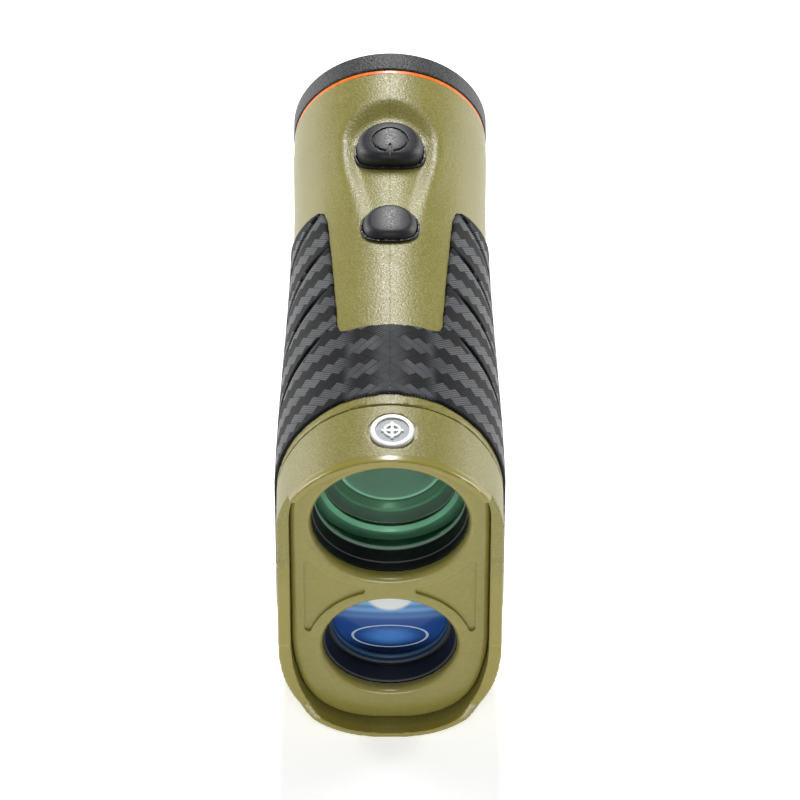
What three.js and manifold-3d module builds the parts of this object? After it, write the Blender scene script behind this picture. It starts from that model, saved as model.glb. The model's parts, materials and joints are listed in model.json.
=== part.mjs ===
// Handheld monocular laser rangefinder in upright format.
// Millimetres. +Z is up, the objective end faces -Y, the eyepiece faces +Y and +X is to the right.
// The origin is under the middle of the object, on the flat land that it stands on.
import * as THREE from "three";
import { mergeVertices } from "three/addons/utils/BufferGeometryUtils.js";
import Module from "manifold-3d";

const wasm = await Module();
wasm.setup();

// ---- Driving dimensions ----
const FRONT_Y = -54.5; // brow and chin of the front rim
const REAR_Y = 54.5; // rim of the eyecup
const REAR_FACE_Y = 45.5; // lower rear face, which the battery cap closes
const TUBE_END_Y = 48.6; // end of the round collar that carries the eyepiece
const AXIS_Z = 53.7; // viewing and laser axis
const LOWER_AXIS_Z = 21.3; // receiver axis
const BATTERY_Z = 20;
const SLIM_HALF_WIDTH = 18.0; // at the waist of the collar
const FRONT_SWELL = 2.4; // the body grows by this much on each side towards the front
const COLLAR_SWELL = 0.3;
const SHOULDER_Z = 25; // the straight sides end here and the keel curve begins
const KEEL_SINK = 0.8; // the keel curve would reach this far below the flat land
const KEEL_POWER = 2.4; // superellipse exponent of the keel
const WALL = 2.6;
const GAP = 0.3; // clearance between neighbouring pieces
const HEEL_RADIUS = 9; // lower rear corner, seen from the side
const GRIP_SINK = 0.9; // depth of the grip's bed in the shells
const GRIP_PROUD = 0.5;
const PLATE_Y = -51.0; // front face of the lens plate
const PLATE_THICK = 2.0;
const UPPER_APERTURE = 14.2; // radii
const LOWER_APERTURE = 12.3;
// Shallow relief between the apertures, one on each side, bounded by an arc about each aperture.
const POCKET = { edge: 15.6, tip: 4.3, depth: 0.7, z0: 25.4, z1: 44.4, upperArc: 17.3, lowerArc: 15.1 };
const COLLAR_RADIUS = SLIM_HALF_WIDTH + COLLAR_SWELL - 0.05;
const BORE_RADIUS = 16.6; // inside of the collar
const TRIPOD = { y: -12, outer: 5.5, socket: 3.2, height: 8.6, depth: 7 };
const LANYARD = { x: 16.2, y: 43.6, z0: 13.6, z1: 23.8, inner: 10.9, front: 38.2 };
const BUTTON_TRAVEL_GAP = 1.1;
const MODE_BUTTON = { name: "mode", y: 7.6, halfX: 5.0, halfY: 4.4, top: 73.9 };
const POWER_BUTTON = { name: "power", y: 29.6, halfX: 6.2, halfY: 5.2, top: 73.6 };
const BOARD_Z = 64.6; // underside of the button board
const HEAD_SEAT = 2.3; // the screw heads seat this far below the flank
const SCREWS = [
  { y: -31, z: 5.4 },
  { y: 1, z: 5.4 },
  { y: -29, z: 35.6 },
  { y: 29, z: 35.8 },
];

const ROUND = 32; // facets on large visible rounds
const MEDIUM = 20;
const SMALL = 10;

// ---- Colours ----
const OLIVE = 0x9a955a;
const OLIVE_PLATE = 0x94905a;
const GRIP_GREY = 0x34363a;
const ORANGE = 0xe8752a;
const RUBBER = 0x1d1e20;
const WHITE = 0xf2f2ef;
const BATTERY_GREY = 0x3a3d45;
const BLACK = 0x141416;
const GREEN_GLASS = 0x2f6b50;
const BLUE_GLASS = 0x2a4f8f;
const CLEAR_GLASS = 0xcfe0e6;
const METAL = 0xb9bcc0;
const BRASS = 0xb58f45;
const BOARD_GREEN = 0x1f5a38;

// ---- Helpers: solids ----
function toSolid(geometry) {
  const bare = geometry.index ? geometry.toNonIndexed() : geometry.clone();
  bare.deleteAttribute("normal");
  bare.deleteAttribute("uv");
  const merged = mergeVertices(bare, 1e-4);
  return new wasm.Manifold(
    new wasm.Mesh({
      numProp: 3,
      vertProperties: new Float32Array(merged.attributes.position.array),
      triVerts: new Uint32Array(merged.index.array),
    }),
  );
}

function toGeometry(solid) {
  const mesh = solid.getMesh();
  const geometry = new THREE.BufferGeometry();
  const stride = mesh.numProp;
  const count = mesh.vertProperties.length / stride;
  const position = new Float32Array(count * 3);
  for (let i = 0; i < count; i++) {
    for (let k = 0; k < 3; k++) position[i * 3 + k] = mesh.vertProperties[i * stride + k];
  }
  geometry.setAttribute("position", new THREE.BufferAttribute(position, 3));
  geometry.setIndex([...mesh.triVerts]);
  return geometry;
}

function subtract(first, ...rest) {
  return rest.reduce((left, right) => left.subtract(right), first);
}

function unite(first, ...rest) {
  return rest.reduce((left, right) => left.add(right), first);
}

function intersect(first, ...rest) {
  return rest.reduce((left, right) => left.intersect(right), first);
}

function block(x0, x1, y0, y1, z0, z1) {
  const geometry = new THREE.BoxGeometry(x1 - x0, y1 - y0, z1 - z0);
  geometry.translate((x0 + x1) / 2, (y0 + y1) / 2, (z0 + z1) / 2);
  return toSolid(geometry);
}

// A solid turned about the Y axis through (x, z); the profile is a list of [radius, y].
function turned(profile, z, segments = MEDIUM, x = 0) {
  const points = profile.map(([r, y]) => new THREE.Vector2(r, y));
  const geometry = new THREE.LatheGeometry(points, segments);
  geometry.translate(x, 0, z);
  return toSolid(geometry);
}

function disc(radius, y0, y1, z, segments = MEDIUM, x = 0) {
  return turned([[0, y0], [radius, y0], [radius, y1], [0, y1]], z, segments, x);
}

function tube(outer, inner, y0, y1, z, segments = MEDIUM, x = 0) {
  return turned([[inner, y0], [outer, y0], [outer, y1], [inner, y1], [inner, y0]], z, segments, x);
}

// A cylinder along X through (y, z).
function crossPin(radius, x0, x1, y, z, segments = SMALL) {
  const geometry = new THREE.CylinderGeometry(radius, radius, x1 - x0, segments);
  geometry.rotateZ(-Math.PI / 2);
  geometry.translate((x0 + x1) / 2, y, z);
  return toSolid(geometry);
}

function post(radius, z0, z1, x, y, segments = SMALL) {
  const geometry = new THREE.CylinderGeometry(radius, radius, z1 - z0, segments);
  geometry.rotateX(Math.PI / 2);
  geometry.translate(x, y, (z0 + z1) / 2);
  return toSolid(geometry);
}

function shapeOf(points) {
  return new THREE.Shape(points.map(([a, b]) => new THREE.Vector2(a, b)));
}

// Side outline in (y, z), run along X from x0 to x1.
function sidePrism(outline, x0, x1) {
  const shape = outline instanceof THREE.Shape ? outline : shapeOf(outline);
  const settings = { depth: x1 - x0, bevelEnabled: false, curveSegments: 8 };
  const geometry = new THREE.ExtrudeGeometry(shape, settings);
  const turn = new THREE.Matrix4().set(0, 0, 1, x0, 1, 0, 0, 0, 0, 1, 0, 0, 0, 0, 0, 1);
  geometry.applyMatrix4(turn);
  return toSolid(geometry);
}

// Plan outline in (x, y), run along Z from z0 to z1.
function planPrism(outline, z0, z1) {
  const shape = outline instanceof THREE.Shape ? outline : shapeOf(outline);
  const geometry = new THREE.ExtrudeGeometry(shape, { depth: z1 - z0, bevelEnabled: false });
  geometry.translate(0, 0, z0);
  return toSolid(geometry);
}

function ellipseOutline(halfX, halfY, y, count = MEDIUM) {
  const points = [];
  for (let i = 0; i < count; i++) {
    const angle = (2 * Math.PI * i) / count;
    points.push([halfX * Math.cos(angle), y + halfY * Math.sin(angle)]);
  }
  return points;
}

// ---- Helpers: the body's own surface ----
function halfWidth(y) {
  const swell = 1 - THREE.MathUtils.smoothstep(y, -46, 24);
  const collar = THREE.MathUtils.smoothstep(y, 26, 46);
  return SLIM_HALF_WIDTH + FRONT_SWELL * swell + COLLAR_SWELL * collar;
}

// Cross-section at y, moved outwards by offset: a half-round crown, straight sides and a keel.
function sectionOutline(y, offset) {
  const crownSteps = 16;
  const keelSteps = 5; // on each side, from the straight side down to the flat land
  const radius = halfWidth(y) + offset;
  const depth = SHOULDER_Z + KEEL_SINK + offset;
  const landAngle = Math.asin(((SHOULDER_Z + offset) / depth) ** (KEEL_POWER / 2));
  const crown = [];
  for (let i = 0; i <= crownSteps; i++) {
    const angle = (Math.PI * i) / crownSteps;
    crown.push([radius * Math.cos(angle), AXIS_Z + radius * Math.sin(angle)]);
  }
  const keel = [];
  for (let i = 0; i <= keelSteps; i++) {
    const angle = (landAngle * i) / keelSteps;
    const x = radius * Math.cos(angle) ** (2 / KEEL_POWER);
    const z = SHOULDER_Z - depth * Math.sin(angle) ** (2 / KEEL_POWER);
    keel.push([x, Math.max(z, -offset)]);
  }
  const otherSide = keel.map(([x, z]) => [-x, z]);
  return [...crown, ...otherSide, ...keel.reverse()];
}

// The body's volume between two stations, with its skin moved outwards by offset.
function bodyVolume(offset, y0, y1) {
  const pitch = 16;
  const steps = Math.max(1, Math.round((y1 - y0) / pitch));
  const position = [];
  const index = [];
  const around = sectionOutline(0, 0).length;
  for (let j = 0; j <= steps; j++) {
    const y = y0 + ((y1 - y0) * j) / steps;
    for (const [x, z] of sectionOutline(y, offset)) position.push(x, y, z);
  }
  for (let j = 0; j < steps; j++) {
    for (let i = 0; i < around; i++) {
      const a = j * around + i;
      const b = j * around + ((i + 1) % around);
      index.push(a, a + around, b + around, a, b + around, b);
    }
  }
  const front = position.length / 3;
  position.push(0, y0, AXIS_Z - 10, 0, y1, AXIS_Z - 10);
  const last = steps * around;
  for (let i = 0; i < around; i++) {
    const next = (i + 1) % around;
    index.push(front, i, next, front + 1, last + next, last + i);
  }
  const geometry = new THREE.BufferGeometry();
  geometry.setAttribute("position", new THREE.BufferAttribute(new Float32Array(position), 3));
  geometry.setIndex(index);
  return toSolid(geometry);
}

// The joint between the bezel and the shells leans forward on its way down the sides.
function jointLine(shift) {
  return [
    [-40.1 + shift, 90],
    [-40.1 + shift, 74],
    [-42.3 + shift, 60],
    [-42.3 + shift, -5],
  ];
}

// Everything of the body behind the bezel joint and inside the rear face, shrunk by inset.
function shellProfile(inset) {
  const shape = new THREE.Shape();
  const line = jointLine(0);
  shape.moveTo(line[3][0], line[3][1]);
  shape.lineTo(24, -5);
  shape.lineTo(REAR_FACE_Y - HEEL_RADIUS, inset);
  shape.absarc(REAR_FACE_Y - HEEL_RADIUS, HEEL_RADIUS, HEEL_RADIUS - inset, -Math.PI / 2, 0, false);
  shape.lineTo(REAR_FACE_Y - inset, 90);
  shape.lineTo(line[0][0], line[0][1]);
  shape.lineTo(line[1][0], line[1][1]);
  shape.lineTo(line[2][0], line[2][1]);
  return shape;
}

// Side outline of one rubber grip, grown by margin: it bridges the crown in front of the buttons,
// leaves a panel free around them and wraps the flank.
function gripOutline(margin) {
  return [
    [-38.0 - margin, 90],
    [-38.0 - margin, 74],
    [-40.2 - margin, 60],
    [-40.2 - margin, 12 - margin],
    [14 + margin, 12 - margin],
    [26 + margin, 26],
    [20 + margin, 50],
    [16.8 + margin, 62],
    [16.2 + margin, 67 + margin],
    [12.7, 68.5 + margin],
    [-16.6, 71.3 + margin],
    [-19.4 + margin, 72.2],
    [-20.2 + margin, 73.2],
    [-20.2 + margin, 90],
  ];
}

// Finger recess around the two buttons: a long shield, broad and round behind.
function recessOutline() {
  const points = [];
  const broad = 9.0;
  const rearY = 41.6;
  const centreY = 32.6;
  for (let i = 0; i <= 12; i++) {
    const angle = (Math.PI * i) / 12;
    points.push([broad * Math.cos(angle), centreY + (rearY - centreY) * Math.sin(angle)]);
  }
  points.push([-6.4, 11], [-3.6, 1], [0, -1], [3.6, 1], [6.4, 11]);
  return points;
}

function sealSeat(button) {
  return planPrism(ellipseOutline(button.halfX + 1.1 + GAP, button.halfY + 1.1 + GAP, button.y), 60, 90);
}

function clip(side) {
  const half = side < 0 ? [-40, -GAP / 2] : [GAP / 2, 40];
  return block(half[0], half[1], -80, 80, -20, 100);
}

// ---- Casing ----
const shellOuter = unite(
  intersect(bodyVolume(0, -44, 50), sidePrism(shellProfile(0), -30, 30)),
  disc(COLLAR_RADIUS, 44, TUBE_END_Y, AXIS_Z, ROUND),
);
const shellCavity = intersect(
  bodyVolume(-WALL, -46, 50),
  unite(sidePrism(shellProfile(WALL), -30, 30), block(-30, 30, -46, 0, -5, 90)),
);
const gripBed = intersect(
  subtract(bodyVolume(3, -48, 50), bodyVolume(-GRIP_SINK - GAP, -50, 52)),
  sidePrism(gripOutline(GAP), -40, 40),
);
const recess = subtract(
  unite(planPrism(recessOutline(), 60, 90), sealSeat(MODE_BUTTON), sealSeat(POWER_BUTTON)),
  bodyVolume(-1.1, -50, 52),
);
const lanyardBlock = intersect(
  block(9.9, 30, 36, 60, LANYARD.z0 - 2, LANYARD.z1 + 2),
  bodyVolume(-0.5, -20, 50),
  sidePrism(shellProfile(0.5), -30, 30),
);
const lanyardPocket = block(LANYARD.inner, 30, LANYARD.front, 60, LANYARD.z0, LANYARD.z1);

function buttonHole(button) {
  return planPrism(ellipseOutline(button.halfX + GAP, button.halfY + GAP, button.y), 60, 90);
}

// Screws run along X from the left flank into a boss on the right one.
function flankAt({ y, z }) {
  const depth = SHOULDER_Z + KEEL_SINK;
  const drop = Math.min(1, Math.max(0, SHOULDER_Z - z) / depth);
  return halfWidth(y) * (1 - drop ** KEEL_POWER) ** (1 / KEEL_POWER);
}

function screwBoss(screw, side) {
  const reach = flankAt(screw) - 1.6;
  return side < 0
    ? crossPin(2.2, -reach, -GAP / 2, screw.y, screw.z)
    : crossPin(2.2, GAP / 2, reach, screw.y, screw.z);
}

function screwClearance(screw) {
  const seat = flankAt(screw) - HEAD_SEAT;
  return unite(
    crossPin(1.3, -30, 8, screw.y, screw.z),
    crossPin(2.1, -30, -seat, screw.y, screw.z),
  );
}

function makeShell(side) {
  const bosses = SCREWS.map((screw) => screwBoss(screw, side));
  const extras = side > 0 ? [lanyardBlock] : [];
  const cutters = SCREWS.map(screwClearance);
  if (side > 0) cutters.push(lanyardPocket);
  const hollow = subtract(shellOuter, shellCavity);
  return intersect(
    subtract(
      unite(hollow, ...bosses, ...extras),
      gripBed,
      recess,
      buttonHole(MODE_BUTTON),
      buttonHole(POWER_BUTTON),
      disc(BORE_RADIUS, 42, 60, AXIS_Z, ROUND),
      disc(9.6, 30, 60, BATTERY_Z, MEDIUM),
      post(5.8, -5, 12, 0, TRIPOD.y),
      ...cutters,
    ),
    clip(side),
  );
}

function makeGrip(side) {
  const band = subtract(bodyVolume(GRIP_PROUD, -48, 50), bodyVolume(-GRIP_SINK, -50, 52));
  const whole = intersect(band, sidePrism(gripOutline(0), -40, 40), clip(side));
  const grooves = [];
  const pitch = 11.4;
  const lean = 0.9; // forward run for each millimetre down the flank
  for (let i = 0; i < 4; i++) {
    const topY = 11.5 - i * pitch;
    const run = 44;
    const groove = sidePrism(
      [
        [topY, 69],
        [topY + 0.7, 69],
        [topY + 0.7 - run * lean, 69 - run],
        [topY - run * lean, 69 - run],
      ],
      side < 0 ? -30 : 5,
      side < 0 ? -5 : 30,
    );
    grooves.push(subtract(groove, bodyVolume(GRIP_PROUD - 0.6, -60, 60)));
  }
  return subtract(whole, ...grooves);
}

function makeBezel() {
  const front = -60;
  const rearLine = jointLine(-GAP);
  const keep = sidePrism([[front, -5], ...rearLine.reverse(), [front, 90]], -30, 30);
  const skin = intersect(bodyVolume(0, FRONT_Y, -38), keep);
  const spigot = bodyVolume(-WALL - GAP, -44, -36.5);
  const mouth = bodyVolume(-2.1, -60, PLATE_Y + PLATE_THICK + GAP);
  const throat = bodyVolume(-4.4, -60, -30);
  const lowSides = block(-30, 30, -60, FRONT_Y + 1.2, 11, 63.5);
  const badgeSeat = post(4.4, 73.6, 90, 0.4, -46.9, SMALL);
  return subtract(unite(skin, spigot), mouth, throat, lowSides, badgeSeat);
}

function makePlate() {
  const body = bodyVolume(-2.1 - GAP, PLATE_Y, PLATE_Y + PLATE_THICK);
  const upper = disc(UPPER_APERTURE, -60, -40, AXIS_Z, ROUND);
  const lower = disc(LOWER_APERTURE, -60, -40, LOWER_AXIS_Z, ROUND);
  const pockets = subtract(
    unite(
      block(-POCKET.edge, -POCKET.tip, -60, PLATE_Y + POCKET.depth, POCKET.z0, POCKET.z1),
      block(POCKET.tip, POCKET.edge, -60, PLATE_Y + POCKET.depth, POCKET.z0, POCKET.z1),
    ),
    disc(POCKET.upperArc, -61, -40, AXIS_Z, ROUND),
    disc(POCKET.lowerArc, -61, -40, LOWER_AXIS_Z, ROUND),
  );
  return subtract(body, upper, lower, pockets);
}

// ---- Buttons ----
function makeButton(button) {
  const cap = planPrism(ellipseOutline(button.halfX, button.halfY, button.y), 68.6, button.top);
  const crown = crossPin(14, -10, 10, button.y, button.top - 14, 64);
  const stem = post(1.5, BOARD_Z + 1.0 + 1.5 + BUTTON_TRAVEL_GAP, 70, 0, button.y);
  const dished = intersect(cap, unite(crown, block(-10, 10, button.y - 9, button.y + 9, 60, 71)));
  return unite(dished, stem);
}

function makeButtonSeal(button) {
  const outer = planPrism(ellipseOutline(button.halfX + 1.1, button.halfY + 1.1, button.y), 60, 90);
  const inner = planPrism(ellipseOutline(button.halfX + GAP, button.halfY + GAP, button.y), 59, 91);
  return intersect(subtract(outer, inner), subtract(bodyVolume(-0.2, -20, 50), bodyVolume(-0.8, -21, 51)));
}

function makeSwitch(button) {
  return block(-2.2, 2.2, button.y - 2.2, button.y + 2.2, BOARD_Z + 1.0 + 0.05, BOARD_Z + 1.0 + 1.5);
}

// ---- Objective and receiver ----
function lens(radius, y, thickness, bulgeFront, bulgeRear, z) {
  const steps = 3;
  const front = [];
  const rear = [];
  for (let i = 0; i <= steps; i++) {
    const share = i / steps;
    front.push([radius * share, y - bulgeFront * (1 - share * share)]);
    rear.push([radius * (1 - share), y + thickness + bulgeRear * (1 - (1 - share) ** 2)]);
  }
  return turned([...front, ...rear], z, MEDIUM);
}

function makeObjectiveBarrel() {
  return turned(
    [
      [14.9, -48.7],
      [15.6, -48.7],
      [15.6, -30],
      [11.6, -9.5],
      [10.7, -9.5],
      [9.3, -31.0],
      [9.9, -31.0],
      [9.9, -35.3],
      [12.0, -38.4],
      [12.9, -40.0],
      [14.9, -40.0],
      [14.9, -48.7],
    ],
    AXIS_Z,
    MEDIUM,
  );
}

function makeReceiverBarrel() {
  return turned(
    [
      [12.4, -48.7],
      [13.1, -48.7],
      [13.1, -34],
      [6.6, -8],
      [5.6, -8],
      [9.2, -38],
      [10.2, -38],
      [10.2, -43.2],
      [12.4, -43.2],
      [12.4, -48.7],
    ],
    LOWER_AXIS_Z,
    MEDIUM,
  );
}

// ---- Prisms ----
function makePrismHousing() {
  const outer = block(-9.8, 9.8, -8.8, 20.6, 42.4, 63.6);
  const inner = block(-8.6, 8.6, -7.6, 19.4, 43.6, 66);
  return subtract(outer, inner, disc(7, -12, -7, AXIS_Z), disc(6, 18, 24, AXIS_Z));
}

const FRONT_PRISM = [[-7.1, 45.2], [-7.1, 62.2], [-1.2, 62.2], [6.6, 54.4], [-2.6, 45.2]];
const ROOF_PRISM = [[-1.0, 45.2], [18.8, 45.2], [18.8, 62.2], [0.4, 62.2], [7.9, 54.4]];

// ---- Battery bay ----
function makeBatteryTube() {
  return subtract(
    disc(9.3, 11, REAR_FACE_Y - 1, BATTERY_Z),
    disc(8.2, 12.2, 60, BATTERY_Z),
    disc(3, 5, 30, BATTERY_Z, SMALL),
  );
}

function makeBattery() {
  return turned([[0, 14.6], [3.2, 14.6], [3.2, 15.4], [7.8, 15.4], [7.8, 41.8], [0, 41.8]], BATTERY_Z);
}

const CAP_RADIUS = 10.6;
const CAP_FACE_Y = REAR_FACE_Y + 0.3;
const CAP_REAR_Y = 49.2;

function makeCap() {
  const body = turned(
    [
      [0, 43.9],
      [7.9, 43.9],
      [7.9, CAP_FACE_Y],
      [CAP_RADIUS, CAP_FACE_Y],
      [CAP_RADIUS, CAP_REAR_Y - 0.8],
      [CAP_RADIUS - 0.8, CAP_REAR_Y],
      [0, CAP_REAR_Y],
    ],
    BATTERY_Z,
  );
  const slot = block(-3.4, 3.4, CAP_REAR_Y - 2.4, 60, BATTERY_Z - 1.6, BATTERY_Z + 8.4);
  return subtract(body, slot, crossPin(0.95, -4.8, 4.8, CAP_REAR_Y - 0.95, BATTERY_Z - 0.2));
}

function makeTab() {
  const leaf = block(-3.1, 3.1, CAP_REAR_Y - 1.5, CAP_REAR_Y - 0.2, BATTERY_Z + 0.2, BATTERY_Z + 7.9);
  const root = block(-3.1, 3.1, CAP_REAR_Y - 1.5, CAP_REAR_Y - 0.4, BATTERY_Z - 0.3, BATTERY_Z + 1);
  const knuckle = crossPin(1.1, -3.1, 3.1, CAP_REAR_Y - 0.95, BATTERY_Z - 0.2);
  const eye = crossPin(0.9, -5, 5, CAP_REAR_Y - 0.95, BATTERY_Z - 0.2);
  return subtract(unite(leaf, knuckle, root), eye);
}

// ---- Assembly ----
const rangefinder = new THREE.Group();

function add(name, shape, color, roughness = 0.6, metalness = 0) {
  const geometry = shape instanceof THREE.BufferGeometry ? shape : toGeometry(shape);
  const mesh = new THREE.Mesh(geometry, new THREE.MeshStandardMaterial({ color, roughness, metalness }));
  mesh.name = name;
  rangefinder.add(mesh);
}

for (const [name, side] of [["left", -1], ["right", 1]]) {
  add(`${name}_shell`, makeShell(side), OLIVE);
  add(`${name}_grip`, makeGrip(side), GRIP_GREY, 0.75);
}
add("front_bezel", makeBezel(), OLIVE);
add("lens_plate", makePlate(), OLIVE_PLATE, 0.45);
add("badge", post(4.1, 73.75, 74.35, 0.4, -46.9, MEDIUM), WHITE, 0.35);

for (const button of [POWER_BUTTON, MODE_BUTTON]) {
  add(`${button.name}_button`, makeButton(button), BLACK, 0.5);
  add(`${button.name}_button_seal`, makeButtonSeal(button), RUBBER, 0.7);
  add(`${button.name}_switch`, makeSwitch(button), METAL, 0.4, 0.6);
}
add("button_board", block(-6.5, 6.5, -1, 37.5, BOARD_Z, BOARD_Z + 1.0), BOARD_GREEN);

add("accent_ring", tube(18.1, 16.9, TUBE_END_Y + 0.15, TUBE_END_Y + 1.05, AXIS_Z, ROUND), ORANGE, 0.5);
const cupFront = TUBE_END_Y + 1.2;
add(
  "eyecup",
  turned(
    [
      [15.4, 43.5],
      [16.3, 43.5],
      [16.3, cupFront],
      [18.2, cupFront],
      [18.2, REAR_Y - 0.8],
      [17.4, REAR_Y],
      [15.0, REAR_Y],
      [14.2, REAR_Y - 0.8],
      [14.2, cupFront],
      [15.4, cupFront - 1],
      [15.4, 43.5],
    ],
    AXIS_Z,
    ROUND,
  ),
  RUBBER,
  0.8,
);
add("eyecup_detent_ring", tube(15.2, 14.0, 41.2, 43.2, AXIS_Z, MEDIUM), BLACK, 0.4);
add(
  "ocular_barrel",
  turned(
    [
      [10.0, 24.2],
      [10.6, 24.2],
      [10.6, 38.4],
      [15.2, 38.4],
      [15.2, 40.8],
      [13.6, 40.8],
      [13.6, 44.6],
      [10.0, 44.6],
      [10.0, 24.2],
    ],
    AXIS_Z,
    MEDIUM,
  ),
  BLACK,
  0.4,
);
add("diopter_ring", tube(13.5, 10.3, 45.0, 52.8, AXIS_Z, MEDIUM), BLACK, 0.6);
add("ocular_cell", tube(9.7, 8.9, 27, 51.2, AXIS_Z, MEDIUM), BLACK, 0.4);
add("eye_lens", lens(8.6, 46.4, 1.4, 1.2, 1.2, AXIS_Z), CLEAR_GLASS, 0.05);
add("field_lens", lens(8.6, 29.5, 1.2, 1.0, 0.6, AXIS_Z), CLEAR_GLASS, 0.05);
const displayFrame = subtract(block(-8.5, 8.5, 21.2, 23.4, 46, 61.4), block(-5, 5, 20, 25, 49.5, 57.9));
add("display_module", displayFrame, BLACK, 0.4);

add("objective_retaining_ring", tube(14.6, 13.8, -48.7, -44.9, AXIS_Z, ROUND), BLACK, 0.5);
add("objective_barrel", makeObjectiveBarrel(), BLACK, 0.5);
add("objective_crown_lens", lens(14.5, -43.4, 1.6, 1.2, 1.4, AXIS_Z), GREEN_GLASS, 0.05);
add("objective_flint_lens", lens(9.7, -34.9, 3.0, 0.3, 0.2, AXIS_Z), CLEAR_GLASS, 0.05);
add("receiver_retaining_ring", tube(12.3, 9.7, -48.7, -43.6, LOWER_AXIS_Z, MEDIUM), BLACK, 0.5);
add("receiver_barrel", makeReceiverBarrel(), BLACK, 0.5);
add("receiver_lens", lens(9.8, -41.8, 2.4, 1.2, 0.8, LOWER_AXIS_Z), BLUE_GLASS, 0.05);
add("detector_board", block(-9, 9, -4.2, -3.0, LOWER_AXIS_Z - 8, LOWER_AXIS_Z + 8), BOARD_GREEN);
add("detector_module", disc(4.2, -7.4, -4.5, LOWER_AXIS_Z, SMALL), METAL, 0.3, 0.8);

add("prism_housing", makePrismHousing(), BLACK, 0.6);
add("front_prism", sidePrism(FRONT_PRISM, -8.2, 8.2), CLEAR_GLASS, 0.05);
add("roof_prism", sidePrism(ROOF_PRISM, -8.2, 8.2), CLEAR_GLASS, 0.05);
add("laser_module", disc(2.8, -4, 8, 39.3, SMALL), METAL, 0.3, 0.8);
add("main_board", block(-13, 13, -25, 24, 34.9, 36.0), BOARD_GREEN);
add("processor_shield", block(-7, 7, 10, 22, 36.3, 38.2), METAL, 0.3, 0.8);

add("battery_tube", makeBatteryTube(), BLACK, 0.6);
add("battery", makeBattery(), BATTERY_GREY, 0.4);
add("front_contact", disc(2.6, 11.2, 14.3, BATTERY_Z, SMALL), METAL, 0.3, 0.9);
add("cap_contact", disc(3.2, 42.1, 43.6, BATTERY_Z, SMALL), METAL, 0.3, 0.9);
add("cap_seal", tube(9.3, 8.2, REAR_FACE_Y - 0.75, REAR_FACE_Y + 0.05, BATTERY_Z), RUBBER, 0.8);
add("battery_cap", makeCap(), BLACK, 0.7);
add("cap_tab", makeTab(), BLACK, 0.6);
add("cap_tab_pin", crossPin(0.65, -4.5, 4.5, CAP_REAR_Y - 0.95, BATTERY_Z - 0.2), METAL, 0.3, 0.9);

add(
  "tripod_bush",
  subtract(
    post(TRIPOD.outer, 0, TRIPOD.height, 0, TRIPOD.y, MEDIUM),
    post(TRIPOD.socket, -1, TRIPOD.depth, 0, TRIPOD.y, SMALL),
  ),
  BRASS,
  0.35,
  0.9,
);
add("lanyard_bar", post(0.9, LANYARD.z0 + 0.02, LANYARD.z1 - 0.02, LANYARD.x, LANYARD.y), METAL, 0.3, 0.9);

SCREWS.forEach((screw, i) => {
  const seat = -flankAt(screw) + HEAD_SEAT;
  add(
    `shell_screw_${i + 1}`,
    unite(
      crossPin(1.0, seat - 1, 7.5, screw.y, screw.z),
      crossPin(1.8, seat - 1 - GAP, seat - GAP, screw.y, screw.z),
    ),
    METAL,
    0.3,
    0.9,
  );
});

export default rangefinder;
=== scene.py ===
"""Laser rangefinder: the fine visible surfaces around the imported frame.

Moulded pieces are distance fields in millimetres, meshed by a surface net; round pieces are turned
profiles. +Z is up, the objective end faces -Y and +X is to the right.
"""
import json
import math

import bmesh
import bpy
import numpy as np
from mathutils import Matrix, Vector


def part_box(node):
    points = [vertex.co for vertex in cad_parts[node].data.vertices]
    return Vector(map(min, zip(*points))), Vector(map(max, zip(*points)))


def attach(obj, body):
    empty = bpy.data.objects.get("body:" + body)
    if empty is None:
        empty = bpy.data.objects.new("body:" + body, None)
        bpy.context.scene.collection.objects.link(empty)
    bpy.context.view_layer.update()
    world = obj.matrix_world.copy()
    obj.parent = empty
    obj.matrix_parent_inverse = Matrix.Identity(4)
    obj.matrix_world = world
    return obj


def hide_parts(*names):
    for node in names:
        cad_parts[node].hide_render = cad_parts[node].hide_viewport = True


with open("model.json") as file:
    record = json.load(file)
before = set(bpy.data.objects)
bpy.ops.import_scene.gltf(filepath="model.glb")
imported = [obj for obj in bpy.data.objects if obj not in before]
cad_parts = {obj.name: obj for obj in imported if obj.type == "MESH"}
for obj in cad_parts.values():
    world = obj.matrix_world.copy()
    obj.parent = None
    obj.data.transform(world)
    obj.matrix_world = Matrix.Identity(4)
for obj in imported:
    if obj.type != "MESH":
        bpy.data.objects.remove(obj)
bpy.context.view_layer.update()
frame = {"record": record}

MM = 0.001

# ---- Driving dimensions, in millimetres ----
FRONT_Y = -54.5
REAR_Y = 54.5
REAR_FACE_Y = 45.5
TUBE_END_Y = 48.6
AXIS_Z = 53.7
LOWER_AXIS_Z = 21.3
BATTERY_Z = 20.0
SLIM_HALF_WIDTH = 18.0
FRONT_SWELL = 2.4
COLLAR_SWELL = 0.3
SHOULDER_Z = 25.0
KEEL_SINK = 0.8
KEEL_POWER = 2.4
WALL = 2.6
HEEL_RADIUS = 9.0
COLLAR_RADIUS = 18.25
PLATE_Y = -51.0
PLATE_THICK = 2.0
UPPER_APERTURE = 14.2
LOWER_APERTURE = 12.3
GRIP_PROUD = 0.5
GRIP_SINK = 0.9
SEAM = 0.03
TRIPOD_Y = -12.0
OCULAR_BORE = 16.6
BATTERY_BORE = 9.6
BUSH_BORE = 5.8
SCREW_WELL = 2.1
RECESS_FRONT_HALF = 6.2
RECESS_REAR_HALF = 9.1
RECESS_REAR_Y = 32.6
STRIP_FRONT_Y = -37.6
STRIP_REAR_Y = -19.8

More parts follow.
